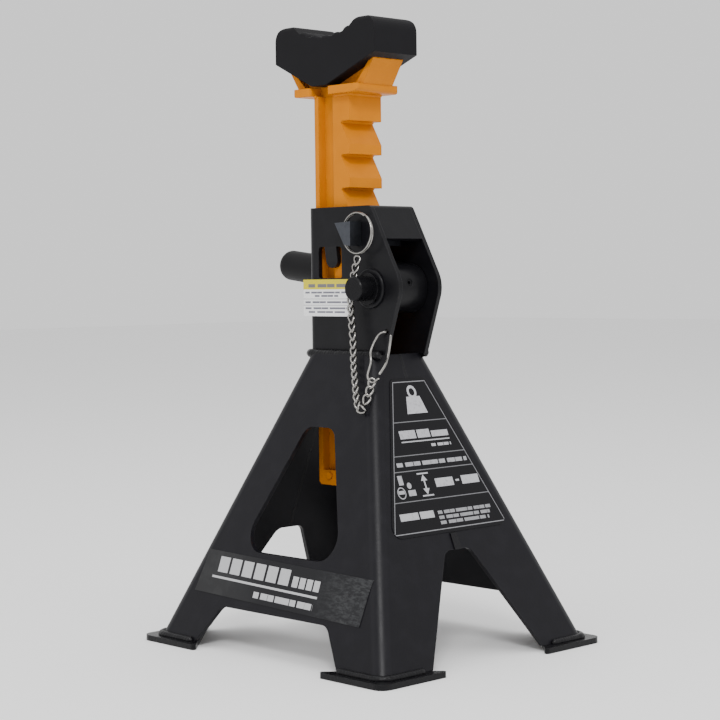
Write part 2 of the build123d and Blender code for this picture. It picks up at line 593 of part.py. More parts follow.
def caution_label():
    """Label on the collar's front plate; its free end stands past the bend."""
    x0, z0 = COL_BACK - 3.1, BASE_H + 19.7
    return box(x0, x0 + 36.2, -COL_Y - 0.35, -COL_Y, z0, z0 + 19.4)


NODES = {
    "base_half_front": lambda: base_half(-1),
    "base_half_rear": lambda: base_half(1),
    "base_seam_welds": lambda: seam_welds(),
    "foot_plate_front_left": lambda: foot_plate(-1, -1),
    "foot_plate_front_right": lambda: foot_plate(1, -1),
    "foot_plate_rear_left": lambda: foot_plate(-1, 1),
    "foot_plate_rear_right": lambda: foot_plate(1, 1),
    "foot_welds": lambda: foot_welds(),
    "collar_channel": lambda: collar_channel(),
    "collar_cover": lambda: collar_cover(),
    "collar_weld": lambda: collar_weld(),
    "pivot_boss_front": lambda: pivot_boss(-1),
    "pivot_boss_rear": lambda: pivot_boss(1),
    "lever_rod": lambda: lever_rod(),
    "lever_grip": lambda: lever_grip(),
    "thrust_ring": lambda: thrust_ring(),
    "pawl": lambda: pawl(),
    "pawl_pin": lambda: pawl_pin(2.0) - pawl_pin(1.0, -10, 14),
    "ratchet_post": lambda: ratchet_post(),
    "post_stop_pin": lambda: rod(*stop_ends(), 2.0),
    "saddle_cradle": lambda: saddle_cradle(),
    "cradle_weld": lambda: cradle_weld(),
    "saddle_pad": lambda: saddle_pad(),
    "lock_pin": lambda: lock_pin(),
    "split_ring": lambda: split_ring(),
    "chain_long": lambda: strand(chain_path()),
    "chain_short": lambda: strand(SHORT_PATH),
    "snap_clip": lambda: snap_clip(),
    "clip_clasp": lambda: clip_clasp(),
    "band_label": lambda: band_label(),
    "info_label": lambda: info_label(),
    "caution_label": lambda: caution_label(),
}

os.makedirs("parts", exist_ok=True)
for name, make in NODES.items():
    shape = make()
    if isinstance(shape, list):
        solids = [s for piece in shape for s in piece.solids()]
    else:
        solids = list(shape.solids())
    export_step(Compound(children=solids) if len(solids) > 1 else solids[0], f"parts/{name}.step")
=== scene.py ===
import bpy
import math
import numpy as np
from mathutils import Matrix, Vector


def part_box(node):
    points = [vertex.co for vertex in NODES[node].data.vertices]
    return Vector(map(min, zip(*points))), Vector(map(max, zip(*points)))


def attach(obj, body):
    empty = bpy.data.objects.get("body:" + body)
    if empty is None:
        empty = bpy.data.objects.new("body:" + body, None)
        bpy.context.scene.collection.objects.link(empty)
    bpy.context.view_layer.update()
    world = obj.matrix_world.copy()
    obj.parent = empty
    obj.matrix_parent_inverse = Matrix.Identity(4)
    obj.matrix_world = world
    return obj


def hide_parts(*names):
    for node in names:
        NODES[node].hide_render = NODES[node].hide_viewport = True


# Axle jack stand: finishes, welds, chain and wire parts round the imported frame. Metres, Z up, the
# toothed side of the collar towards +X and the side with the chain towards -Y.

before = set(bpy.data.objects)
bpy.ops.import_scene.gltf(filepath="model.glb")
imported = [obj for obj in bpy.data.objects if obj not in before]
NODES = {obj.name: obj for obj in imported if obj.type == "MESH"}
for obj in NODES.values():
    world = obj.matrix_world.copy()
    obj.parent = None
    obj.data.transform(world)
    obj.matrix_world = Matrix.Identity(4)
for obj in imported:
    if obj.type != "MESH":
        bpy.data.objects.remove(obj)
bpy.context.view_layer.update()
MM = 0.001


# ------------------------------------------------------------------ sizes, taken from the frame
def span(node, axis):
    """Low and high end of a node along one axis, in millimetres."""
    return [end[axis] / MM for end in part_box(node)]


BASE_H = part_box("base_half_front")[1][2]
FACE_FOOT, FACE_HEAD = 76.0 * MM, 19.5 * MM     # half depths of the base on the ground and at its top
SLOPE = (FACE_FOOT - FACE_HEAD) / BASE_H

INFO_LOW, INFO_HIGH = span("info_label", 2)
INFO_HALF_LOW = span("info_label", 1)[1] + 2.3  # half widths where the sloping sides meet foot and head
INFO_HALF_HIGH = 12.7
CAUTION_LEFT, CAUTION_RIGHT = span("caution_label", 0)
CAUTION_TOP = span("caution_label", 2)[1]

WIRE = 0.6 * MM                                 # radius of the clip's wire
HOOP_R = 10.4 * MM                              # split ring, to the middle of its wire
COIL_WIRE, COIL_OFF = 0.47 * MM, 0.72 * MM      # its wire's radius, and each coil's distance from its middle
LINK_LONG, LINK_WIDE, LINK_WIRE = 2.7 * MM, 1.95 * MM, 0.56 * MM    # half sizes of a link
CURB, LINK_LEAN = 38, 8                         # twist at each end of a link and its lean, in degrees
LONG_LINKS, SHORT_LINKS = 20, 3
PIN_X, RING_Z = 16.4, 205.6                     # where the long strand hangs, in millimetres
CLIP_X, CLIP_Z, PLATE_Y = 31.711, 165.2, -15.6  # clip's hole and the plate's outer face, in millimetres
BEAD_STEP = 0.25 * MM                           # spacing of points along a weld


def mm(*place):
    return tuple(c * MM for c in place)


def on_face(x, z, gap):
    """Point that floats gap outside the base's front face; millimetres in, metres out."""
    return (x * MM, -(FACE_FOOT - SLOPE * z * MM) - gap * MM * math.hypot(1, SLOPE), z * MM)


# ------------------------------------------------------------------------------ shader maths
def operator(kind, reflected=False):
    """Method that adds one Math node; its operands change places when reflected."""
    def act(self, *others):
        items = (*others, self) if reflected else (self, *others)
        return self.finish.node("ShaderNodeMath", {"operation": kind}, dict(enumerate(items)))
    return act


class Value:
    """A shader socket; operators on it add Math nodes."""

    def __init__(self, finish, socket):
        self.finish = finish
        self.socket = socket

    __add__ = __radd__ = operator("ADD")
    __sub__ = operator("SUBTRACT")
    __rsub__ = operator("SUBTRACT", reflected=True)
    __mul__ = __rmul__ = operator("MULTIPLY")
    __truediv__ = operator("DIVIDE")
    __gt__ = operator("GREATER_THAN")
    __lt__ = operator("LESS_THAN")
    __abs__ = operator("ABSOLUTE")
    fract = operator("FRACT")
    floor = operator("FLOOR")
    least = operator("MINIMUM")
    most = operator("MAXIMUM")

    def ramp(self, low, high):
        """0 below low, 1 above high, straight between."""
        share = (self - low) / (high - low)
        return self.finish.node("ShaderNodeMath", {"operation": "ADD", "use_clamp": True}, {0: share, 1: 0.0})


class Finish:
    """One material: its shader, and the nodes behind the sockets that vary over the surface."""

    def __init__(self, name, color, roughness, metallic=0.0, specular=0.5):
        self.material = bpy.data.materials.new(name)
        self.material.use_nodes = True
        self.tree = self.material.node_tree
        self.shader = self.tree.nodes["Principled BSDF"]
        self.set("Base Color", (*color, 1.0))
        self.set("Roughness", roughness)
        self.set("Metallic", metallic)
        self.set("Specular IOR Level", specular)

    def set(self, socket, item):
        self.feed(self.shader.inputs[socket], item)

    def feed(self, socket, item):
        """A value is linked to the socket; a number or a colour is set on it."""
        if isinstance(item, Value):
            self.tree.links.new(item.socket, socket)
        else:
            socket.default_value = item

    def node(self, kind, settings, sockets, out=0):
        """Any other node: its settings first, then its sockets, each a number, a colour or a value."""
        made = self.tree.nodes.new(kind)
        for name, setting in settings.items():
            setattr(made, name, setting)
        for name, item in sockets.items():
            self.feed(made.inputs[name], item)
        return Value(self, made.outputs[out])

    def place(self):
        """Object coordinates as x, y, z in metres."""
        where = self.node("ShaderNodeTexCoord", {}, {}, "Object")
        return [self.node("ShaderNodeSeparateXYZ", {}, {0: where}, axis) for axis in range(3)]

    def grain(self, size, detail=2.0, rough=0.5, stretch=None):
        """Noise from 0 to 1 with spots about size metres across."""
        where = self.node("ShaderNodeTexCoord", {}, {}, "Object")
        if stretch:
            where = self.node("ShaderNodeVectorMath", {"operation": "MULTIPLY"}, {0: where, 1: stretch})
        return self.node("ShaderNodeTexNoise", {}, {"Vector": where, "Scale": 1.0 / size, "Detail": detail,
                                                    "Roughness": rough})

    def blend(self, factor, a, b):
        """Colour a where factor is 0, b where it is 1."""
        first, second = (c if isinstance(c, Value) else (*c, 1.0) for c in (a, b))
        return self.node("ShaderNodeMix", {"data_type": "RGBA"}, {0: factor, 6: first, 7: second}, 2)

    def soft_edge(self, radius):
        """Surface normal with the edges rounded over radius."""
        return self.node("ShaderNodeBevel", {"samples": 4}, {"Radius": radius})

    def worn_edge(self, radius):
        """Near 1 along edges, 0 on flat faces: 1 less the rounded normal times the plain one."""
        plain = self.node("ShaderNodeNewGeometry", {}, {}, "Normal")
        return 1.0 - self.node("ShaderNodeVectorMath", {"operation": "DOT_PRODUCT"},
                               {0: self.soft_edge(radius), 1: plain}, "Value")

    def relief(self, height, depth, edge=None):
        """Bump of height (0 to 1) times depth metres, over edges rounded by edge."""
        sockets = {"Strength": 1.0, "Distance": depth, "Height": height}
        if edge:
            sockets["Normal"] = self.soft_edge(edge)
        self.set("Normal", self.node("ShaderNodeBump", {}, sockets))


# ----------------------------------------------------------------------------------- finishes
RUBBED_COAT = (0.035, 0.034, 0.038)
LABEL_WHITE = (0.42, 0.42, 0.44)
FILM_DARK = (0.0045, 0.0043, 0.0055)


def dusted(tone):
    """A black tone under dust or bloom."""
    return tuple(c * 1.5 + 0.003 for c in tone)


def powder_coat(name, tone, gloss=0.36, peel=1.3 * MM, depth=0.055 * MM, edge=0.5 * MM):
    """Semi-gloss black powder coat with orange peel, a little dust and rubbed edges."""
    f = Finish(name, tone, gloss, specular=0.16)
    f.relief(f.grain(peel, 3.0, 0.55) * 0.75 + f.grain(peel * 0.35, 1.0) * 0.25, depth, edge)
    dust = f.grain(9 * MM, 4.0, 0.6).ramp(0.45, 0.8)
    rubbed = f.worn_edge(0.9 * MM).ramp(0.08, 0.3) * f.grain(4 * MM, 4.0, 0.7).ramp(0.42, 0.62)
    coat = f.blend(dust * 0.45, tone, dusted(tone))
    f.set("Base Color", f.blend(rubbed * 0.6, coat, RUBBED_COAT))
    f.set("Roughness", dust * 0.10 + gloss + rubbed * 0.08)
    return f.material


def orange_enamel():
    """Orange-yellow paint over a casting: cast grain, thin and chipped paint along the edges."""
    tone, deep, bare = (0.53, 0.170, 0.0001), (0.33, 0.085, 0.0001), (0.03, 0.022, 0.016)
    f = Finish("orange_enamel", tone, 0.34, specular=0.08)
    cast = f.grain(2.4 * MM, 4.0, 0.6)
    f.relief(cast, 0.10 * MM, 0.7 * MM)
    edge = f.worn_edge(1.0 * MM)
    chip = edge.ramp(0.05, 0.25) * f.grain(2.2 * MM, 5.0, 0.75).ramp(0.60, 0.66)
    cloud = f.grain(14 * MM, 3.0).ramp(0.35, 0.75)
    thin = edge.ramp(0.05, 0.4) * f.grain(3 * MM, 3.0, 0.6).ramp(0.5, 0.6)
    paint = f.blend(thin * 0.45, f.blend(cloud * 0.25, tone, deep), deep)
    f.set("Base Color", f.blend(chip * 0.8, paint, bare))
    f.set("Roughness", cast * 0.12 + 0.28 + chip * 0.2)
    return f.material


def moulded_rubber(name, tone, rough, depth):
    """Matt moulded rubber with a fine skin and a trace of bloom."""
    f = Finish(name, tone, rough, specular=0.14)
    f.relief(f.grain(0.7 * MM, 3.0, 0.6), depth, 0.7 * MM)
    bloom = f.grain(11 * MM, 4.0, 0.65).ramp(0.48, 0.8)
    f.set("Base Color", f.blend(bloom * 0.5, tone, dusted(tone)))
    f.set("Roughness", bloom * 0.12 + rough)
    return f.material


def plated_steel(name, tone, rough, stretch, depth=0.02 * MM):
    """Plated steel with drawing marks and a few duller stains."""
    f = Finish(name, tone, rough, metallic=1.0)
    marks = f.grain(1.0 * MM, 3.0, 0.6, stretch)
    f.relief(marks, depth, 0.35 * MM)
    stain = f.grain(3 * MM, 4.0, 0.6).ramp(0.45, 0.75)
    f.set("Base Color", f.blend(stain * 0.5, tone, tuple(c * 0.6 for c in tone)))
    f.set("Roughness", marks * 0.15 + rough)
    return f.material


def weld_coat():
    """Powder coat over a bead: glossy and uneven."""
    f = Finish("weld_coat", (0.004, 0.0038, 0.0048), 0.30, specular=0.2)
    f.relief(f.grain(1.1 * MM, 4.0, 0.65), 0.16 * MM)
    f.set("Roughness", f.grain(4 * MM, 3.0) * 0.22 + 0.2)
    return f.material


# ------------------------------------------------------- label artwork, u and v in millimetres
def block(u, v, u0, u1, v0, v1):
    """1 inside a rectangle."""
    mid_u, half_u, mid_v, half_v = (u0 + u1) / 2, (u1 - u0) / 2, (v0 + v1) / 2, (v1 - v0) / 2
    return (abs(u - mid_u) < half_u) * (abs(v - mid_v) < half_v)


def blocks(u, v, rectangles):
    return union([block(u, v, *r) for r in rectangles])


def disc(u, v, mid_u, mid_v, r):
    """1 inside a circle."""
    du, dv = u - mid_u, v - mid_v
    return (du * du + dv * dv) < r * r


def hoop(u, v, mid_u, mid_v, r, wall):
    """1 inside a ring."""
    return disc(u, v, mid_u, mid_v, r) - disc(u, v, mid_u, mid_v, r - wall)


def dashes(u, v, u0, u1, v0, v1, pitch, share):
    """A row of plain dashes inside a rectangle, their lengths varied."""
    step = (u - u0) / pitch
    uneven = (step.floor() * 0.618).fract() * 0.35
    return block(u, v, u0, u1, v0, v1) * (step.fract() < uneven + share - 0.17)


def union(marks):
    """1 where any of the marks is 1."""
    total = marks[0]
    for mark in marks[1:]:
        total = total.most(mark)
    return total


def weight_sign(u, v):
    """Weight with a ring on top."""
    body = (abs(u) < 7.4 - (v - 123.0) * 0.30) * (abs(v - 127.3) < 4.3)
    return body.most(hoop(u, v, 0, 133.9, 3.3, 1.4))


def reach_sign(u, v):
    """Arrow between two level lines, and blocks for the lowest and the greatest height."""
    head_up = (abs(u + 9.6) < (93.0 - v) * 0.75) * (abs(v - 91.5) < 1.5)
    head_down = (abs(u + 9.6) < (v - 83.2) * 0.75) * (abs(v - 84.7) < 1.5)
    shaft, levels = (-10.1, -9.1, 84, 92), [(-13.5, -5.5, 93.2, 93.9), (-13.5, -5.5, 82.4, 83.1)]
    heights = [(-2.0, 11.0, 86.2, 90.4), (12.8, 15.4, 88.0, 88.9), (17.2, 30.0, 86.2, 90.4)]
    return union([head_up, head_down, blocks(u, v, [shaft, *levels, *heights])])


def title_bars(u, v):
    """Three bars over a rule and a short row."""
    bars = [(-17.5, -6.0, 110.9, 115.0), (-4.9, 4.2, 110.9, 115.0), (5.3, 17.5, 110.9, 113.9)]
    rule = (-17.5, 17.5, 109.1, 109.7)
    return blocks(u, v, [*bars, rule]).most(dashes(u, v, 3.0, 17.5, 106.2, 107.6, 4.6, 0.86))


def reading_signs(u, v):
    """Ring with a bar in it, a sheet, and a figure reading."""
    bars = [(-29.6, -25.4, 84.7, 86.4), (-27.6, -24.4, 89.0, 93.6), (-22.8, -17.6, 83.4, 86.2)]
    return union([hoop(u, v, -27.5, 85.2, 2.9, 0.5), blocks(u, v, bars), disc(u, v, -21.0, 88.4, 1.5)])


def foot_notes(u, v):
    """Three rows of dashes, each a little shorter than the one above."""
    rows = [(-6.5, 32.5 - 1.5 * k, 73.2 - 2.5 * k, 74.8 - 2.5 * k, 4.4 + 0.7 * k) for k in range(3)]
    return union([dashes(u, v, *row, 0.88) for row in rows])


def info_finish():
    """Dark film on the toothed side: outline, dividing lines, plain bars and pictograms."""
    f = Finish("info_film", FILM_DARK, 0.34, specular=0.15)
    x, y, z = f.place()
    u, v = y * 1000, z * 1000
    slant = (INFO_HALF_LOW - INFO_HALF_HIGH) / (INFO_HIGH - INFO_LOW)
    half = INFO_HALF_LOW - (v - INFO_LOW) * slant
    rim = (half - abs(u)).least(v - INFO_LOW).least(INFO_HIGH - v)
    rim_line = (rim > 1.7) * (rim < 2.15)
    lines = union([abs(v - at) < 0.22 for at in (119.2, 102.8, 95.3, 80.8)]) * (rim > 2.0)
    row = dashes(u, v, -25.5, 25.5, 97.6, 99.6, 6.1, 0.86)
    heading = blocks(u, v, [(-33.5, -20.5, 72.0, 75.4), (-19.4, -9.5, 72.0, 75.4)])
    print_mark = union([lines * 0.35, rim_line * 0.5, weight_sign(u, v), title_bars(u, v) * 0.9, row * 0.75,
                        reading_signs(u, v) * 0.8, reach_sign(u, v) * 0.95, heading * 0.9,
                        foot_notes(u, v) * 0.6])
    worn = f.grain(1.6 * MM, 3.0, 0.6).ramp(0.30, 0.46)
    f.set("Base Color", f.blend(print_mark * (worn * 0.25 + 0.75), FILM_DARK, LABEL_WHITE))
    f.relief(f.grain(1.5 * MM, 2.0), 0.03 * MM, 0.2 * MM)
    return f.material


def band_finish():
    """Worn band: grey at its ends, dark in the middle, with plain blocks in place of words."""
    f = Finish("band_film", (0.02, 0.02, 0.02), 0.40, specular=0.2)
    x, y, z = f.place()
    u, v = x * 1000, z * 1000 + x * 26          # v climbs with x, since the band is askew
    scratch = f.grain(2.0 * MM, 6.0, 0.8)
    fleck = f.grain(2.0 * MM, 5.0, 0.8, (0.5, 1, 1.3)).ramp(0.44, 0.58)
    patches = f.grain(9 * MM, 4.0, 0.7).ramp(0.42, 0.58)
    left = (1.0 - u.ramp(-46, -12)) * (patches * 0.35 + 0.65)
    right = u.ramp(24, 46) * (patches * 0.3 + 0.7)
    far = f.blend(fleck, (0.0085, 0.0085, 0.0100), (0.032, 0.033, 0.035))
    ground = f.blend(left, (0.0075, 0.0074, 0.0090), (0.021, 0.021, 0.022))
    ground = f.blend(right, ground, far)
    tall = [(-50.5 + 9.7 * k, -42.6 + 9.7 * k, 37.8, 45.6) for k in range(6)]
    short = [(8.6 + 5.4 * k, 12.9 + 5.4 * k, 37.8, 43.0) for k in range(4)]
    rule = (-53.9, 29.2, 34.6, 35.7)
    row = dashes(u, v, -18.2, 27.5, 28.9, 31.9, 5.7, 0.9)
    cover = blocks(u, v, [*tall, *short, rule]).most(row)
    f.set("Base Color", f.blend(cover * 0.95, ground, (0.42, 0.42, 0.43)))
    f.set("Roughness", 0.46 - (left + right) * 0.12 + scratch * 0.1)
    f.relief(scratch * 0.5 + f.grain(0.9 * MM, 2.0) * 0.5, 0.03 * MM, 0.2 * MM)
    return f.material


def caution_finish():
    """White label with a yellow head, grey bars and two thin dividing lines."""
    f = Finish("caution_film", (0.8, 0.8, 0.8), 0.35)
    x, y, z = f.place()
    u, v = x * 1000, z * 1000
    left, right, top = CAUTION_LEFT, CAUTION_RIGHT, CAUTION_TOP
    paper = f.blend(v > top - 5.2, (0.74, 0.74, 0.74), (0.56, 0.47, 0.0005))
    rows = [dashes(u, v, left + 4, right - 2, top - 4.2, top - 2.4, 7.3, 0.9)]
    for inset, drop in ((1.5, 6.9), (9.0, 8.7), (1.5, 12.0), (1.5, 15.2), (4.0, 17.2)):
        pitch = 3.3 + 0.2 * drop
        mid = top - drop
        rows.append(dashes(u, v, left + inset, right - inset, mid - 0.5, mid + 0.5, pitch, 0.92))
    lines = union([abs(v - (top - drop)) < 0.14 for drop in (10.3, 13.6)])
    ink = (union(rows) * 0.95).most(lines * 0.8)
    f.set("Base Color", f.blend(ink, paper, (0.10, 0.10, 0.13)))
    f.relief(f.grain(1.5 * MM, 2.0), 0.012 * MM, 0.15 * MM)
    return f.material


# -------------------------------------------------------------------------------- mesh making
def unit(a):
    return a / np.maximum(np.linalg.norm(a, axis=-1, keepdims=True), 1e-12)


def run_along(points):
    """Distance walked along a polyline up to each of its points."""
    return np.concatenate([[0], np.cumsum(np.linalg.norm(np.diff(points, axis=0), axis=1))])


def points_at(distances, points):
    """Points of a polyline at the given distances along it."""
    run = run_along(points)
    return np.stack([np.interp(distances, run, points[:, i]) for i in range(3)], -1)


def curve_through(points, per):
    """Catmull-Rom line: each stretch is the cubic that passes its two ends with slopes set by
    their neighbours, at per steps."""
    p = np.asarray(points, float)
    p = np.vstack([2 * p[:1] - p[1:2], p, 2 * p[-1:] - p[-2:-1]])
    t = (np.arange(per) / per)[None, :, None]
    a, b, c, d = (p[i:len(p) - 3 + i, None, :] for i in range(4))
    cubic = (3 * b - a - 3 * c + d) * t ** 3
    line = 0.5 * (2 * b + (c - a) * t + (2 * a - 5 * b + 4 * c - d) * t ** 2 + cubic)
    return np.vstack([line.reshape(-1, 3), p[-2:-1]])


def tube(path, radius, sides, closed=False, flat=1.0):
    """Grid of points: a circle of radius (a number, or one per path point and side) square to the
    path at each of its points, its frame turned from the reference direction least in line with
    the path, and its second axis scaled by flat."""
    path = np.asarray(path, float)
    if closed:
        along = unit(np.roll(path, -1, 0) - np.roll(path, 1, 0))
    else:
        along = unit(np.gradient(path, axis=0))
    choices = unit(np.array([(1, 0, 0), (0, 1, 0), (0, 0, 1), (1, 1, 0),
                             (0, 1, 1), (1, 0, 1), (1, 1, 1), (1, -1, 1)], float))
    reference = choices[np.argmin(np.abs(along @ choices.T).max(0))]
    across = unit(np.cross(along, reference))
    up = np.cross(across, along)
    a = 2 * np.pi * np.arange(sides) / sides
    r = np.broadcast_to(np.asarray(radius, float), (len(path), sides))[..., None]
    ring = np.cos(a)[None, :, None] * across[:, None] + flat * np.sin(a)[None, :, None] * up[:, None]
    return path[:, None] + r * ring


def grid_quads(rows, cols, closed):
    """Quads between neighbouring rows; columns always wrap round."""
    i = np.arange(rows if closed else rows - 1)[:, None]
    j = np.arange(cols)[None, :]
    n, m = (i + 1) % rows, (j + 1) % cols
    return np.stack([i * cols + j, i * cols + m, n * cols + m, n * cols + j], -1).reshape(-1, 4)


def end_caps(rows, cols):
    """Triangles from the first and the last row to a point in the middle of each."""
    j = np.arange(cols)
    m = (j + 1) % cols
    middle, end = np.full(cols, rows * cols), (rows - 1) * cols
    return np.vstack([np.stack([middle, m, j], -1), np.stack([middle + 1, end + j, end + m], -1)])


def faces_inwards(points, quads, tris):
    """True when the closed surface's signed volume is negative."""
    p = points[np.vstack([quads[:, [0, 1, 2]], quads[:, [0, 2, 3]], tris])]
    return np.einsum("ij,ij->i", p[:, 0], np.cross(p[:, 1], p[:, 2])).sum() < 0


def piece(name, grids, material, body, node, closed=False):
    """One mesh from several tube grids, capped unless they are closed, all facing outwards."""
    verts, faces, start = [], [], 0
    for grid in grids:
        rows, cols = grid.shape[:2]
        points = grid.reshape(-1, 3)
        quads, tris = grid_quads(rows, cols, closed), np.zeros((0, 3), int)
        if not closed:
            points = np.vstack([points, grid[0].mean(0), grid[-1].mean(0)])
            tris = end_caps(rows, cols)
        if faces_inwards(points, quads, tris):
            quads, tris = quads[:, ::-1], tris[:, ::-1]
        faces += (quads + start).tolist() + (tris + start).tolist()
        verts.append(points)
        start += len(points)
    mesh = bpy.data.meshes.new(name)
    mesh.from_pydata(np.vstack(verts).tolist(), [], faces)
    mesh.polygons.foreach_set("use_smooth", np.ones(len(mesh.polygons), bool))
    mesh.materials.append(material)
    made = bpy.data.objects.new(name, mesh)
    bpy.context.scene.collection.objects.link(made)
    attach(made, body)
    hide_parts(node)


def smooth_noise(count, waves, seed):
    """Sum of a few sines with fixed random phases, about -1 to 1 over count steps."""
    r = np.random.default_rng(seed)
    t = np.linspace(0, 2 * np.pi, count)[:, None]
    k = r.integers(waves // 3 + 1, waves + 1, 6)[None, :]
    return (np.sin(t * k + r.uniform(0, 2 * np.pi, 6)[None, :])).sum(1) / 3.2


# ----------------------------------------------------------------------------- ring and chain
def split_ring(material):
    """Wire wound twice round the ring's axis: the circle's angle runs over two turns while Y
    climbs in one short step from the near coil to the far one, which leaves a slit between them."""
    low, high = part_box("split_ring")
    mid = (np.array(low) + np.array(high)) / 2
    t = np.linspace(0, 1, 193)
    angle = 2 * np.pi * (2.0 * t - 0.02) + 1.1
    climb = COIL_OFF * (2 * np.clip((t - 0.38) / 0.14, 0, 1) - 1)
    path = np.stack([mid[0] + HOOP_R * np.cos(angle), mid[1] + climb, mid[2] + HOOP_R * np.sin(angle)], -1)
    piece("split_ring_coils", [tube(path, COIL_WIRE, 10)], material, "pin", "split_ring")


def link_path(centre, along):
    """Stadium loop with a curb twist: each point turns about the link's length by CURB times its
    place along it, one way at one end and the other way at the other."""
    d = unit(along)
    side = unit(np.cross(d, (0, 1, 0)))
    out = np.cross(d, side)
    t = np.linspace(0, 2 * np.pi, 28, endpoint=False)
    c, s = np.cos(t), np.sin(t)
    x = (LINK_LONG - LINK_WIDE) * np.tanh(2.2 * c) / np.tanh(2.2) + LINK_WIDE * c
    turn = np.radians(LINK_LEAN + CURB * x / LINK_LONG)
    y, z = LINK_WIDE * s * np.cos(turn), LINK_WIDE * s * np.sin(turn)
    return centre + x[:, None] * d + y[:, None] * side + z[:, None] * out


def strand(name, route, material, body, node, count):
    """Links spaced evenly along a route, all leaning alike."""
    route = np.asarray(route, float)
    step = run_along(route)[-1] / count
    ends = points_at(np.arange(count + 1) * step, route)
    grids = [tube(link_path((a + b) / 2, b - a), LINK_WIRE, 8, True) for a, b in zip(ends, ends[1:])]
    piece(name, grids, material, body, node, closed=True)


def long_route():
    """From the split ring past the shaft's end, down the base's face and back up to the clip."""
    x, z, y = PIN_X, RING_Z, -20.6
    hanging = [mm(x, y, z - 1.9), mm(x - 2.6, y - 0.6, z - 11), mm(x - 4.8, y - 0.9, z - 20),
               mm(x - 5.0, y - 0.9, z - 28), mm(x - 4.2, y - 0.9, z - 36), mm(x - 2.6, y - 1.4, 159.8)]
    resting = ((-0.4, 150.5), (4.2, 141.0), (8.8, 131.5), (12.4, 126.2), (16.0, 126.6))
    return hanging + [on_face(x + ahead, height, 3.4) for ahead, height in resting]


# --------------------------------------------------------------------------------------- clip
CLIP_LOW = on_face(CLIP_X + 2.4, 140.2, 3.4)    # the clip's lowest bend
SHORT_ROUTE = [on_face(CLIP_X + 0.4, 129.4, 3.6), on_face(CLIP_X + 1.6, 134.0, 3.6),
               (CLIP_LOW[0] - 0.3 * MM, CLIP_LOW[1], CLIP_LOW[2] + 1.4 * MM)]


def wire_part(name, points, radius, material, node, flat=1.0):
    """Round wire along a smooth line through the points, with its ends drawn in."""
    path = curve_through(points, 10)
    s = np.linspace(0, 1, len(path))
    ends = np.sqrt(np.clip(np.minimum(s, 1 - s) * 40 + 0.35, 0, 1))[:, None]
    piece(name, [tube(path, radius * ends, 12, flat=flat)], material, "clip", node)


def clip_wires(material):
    """Teardrop clip and its spring arm."""
    hx, hz, y = CLIP_X, CLIP_Z, PLATE_Y - 1.6
    x, low_y, z = CLIP_LOW[0] / MM, CLIP_LOW[1] / MM - 0.35, CLIP_LOW[2] / MM
    loop = [mm(hx, PLATE_Y + 4.2, hz), mm(hx, y + 0.6, hz), mm(hx - 2.0, y - 0.8, hz - 0.7),
            mm(hx - 4.4, y - 1.4, hz - 3.2), mm(hx - 5.4, y - 4.4, hz - 9.5), on_face(hx - 4.3, 150.0, 2.0),
            mm(x - 3.5, low_y, z + 2.8), mm(x, low_y, z - 0.1), mm(x + 4.8, low_y, z + 2.1)]
    arm = [mm(x + 4.9, low_y, z + 4.0), on_face(x + 4.6, 149.0, 2.3), mm(hx + 4.3, y - 1.7, hz - 12.0),
           mm(hx + 5.2, y - 1.0, hz - 5.4), mm(hx + 5.4, y - 0.6, hz - 1.2)]
    wire_part("snap_clip_loop", loop, WIRE, material, "snap_clip")
    wire_part("snap_clip_arm", arm, WIRE * 1.15, material, "clip_clasp", flat=0.7)


# -------------------------------------------------------------------------------------- welds
def rounded_route(corners, radius, per=10):
    """Polyline with each inner corner replaced by an arc, then points every BEAD_STEP."""
    corners = [np.asarray(c, float) for c in corners]
    points = [corners[0]]
    for a, p, b in zip(corners, corners[1:], corners[2:]):
        u, w = unit(a - p), unit(b - p)
        half = math.acos(np.clip(u @ w, -1, 1)) / 2
        cut = radius / math.tan(half)
        centre = p + unit(u + w) * radius / math.sin(half)
        s, e = p + u * cut - centre, p + w * cut - centre
        k = np.linspace(0, 1, per)[:, None]
        points += list(centre + unit(s * (1 - k) + e * k) * radius)
    points = np.array([*points, corners[-1]])
    return points_at(np.arange(0, run_along(points)[-1], BEAD_STEP), points)


def bead(path, radius, pitch, seed, sides=14):
    """Weld bead: a tube whose radius falls a little from each ripple's crest to the next, the
    ripples bowed along the bead, and wanders slowly."""
    n = len(path)
    s = np.arange(n)[:, None] * BEAD_STEP
    a = (2 * np.pi * np.arange(sides) / sides)[None, :]
    wander = smooth_noise(n, max(6, n // 24), seed)[:, None]
    phase = s / pitch + 0.30 * np.sin(a) + 0.35 * wander
    ripple = (phase % 1.0) ** 1.5
    r = radius * (1 - 0.06 * ripple + 0.05 * wander)
    fade = np.sqrt(np.clip(np.minimum(np.arange(n), np.arange(n)[::-1]) / 5, 0.05, 1))[:, None]
    return tube(path, r * fade, sides)


def collar_bead(material):
    """Three-sided bead between the base's top edge and the collar."""
    low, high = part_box("collar_weld")
    inset = 2.4 * MM
    x0, x1, y, z = low[0] + inset, high[0], high[1] - inset, high[2] - inset
    path = rounded_route([(x1, -y, z), (x0, -y, z), (x0, y, z), (x1, y, z)], 6 * MM)
    path[:, 2] += 0.12 * MM * smooth_noise(len(path), 30, 3)
    path[:, 1] += 0.10 * MM * smooth_noise(len(path), 26, 5)
    grids = [bead(path, 2.25 * MM, 2.1 * MM, 7)]
    piece("collar_bead", grids, material, "stand", "collar_weld")


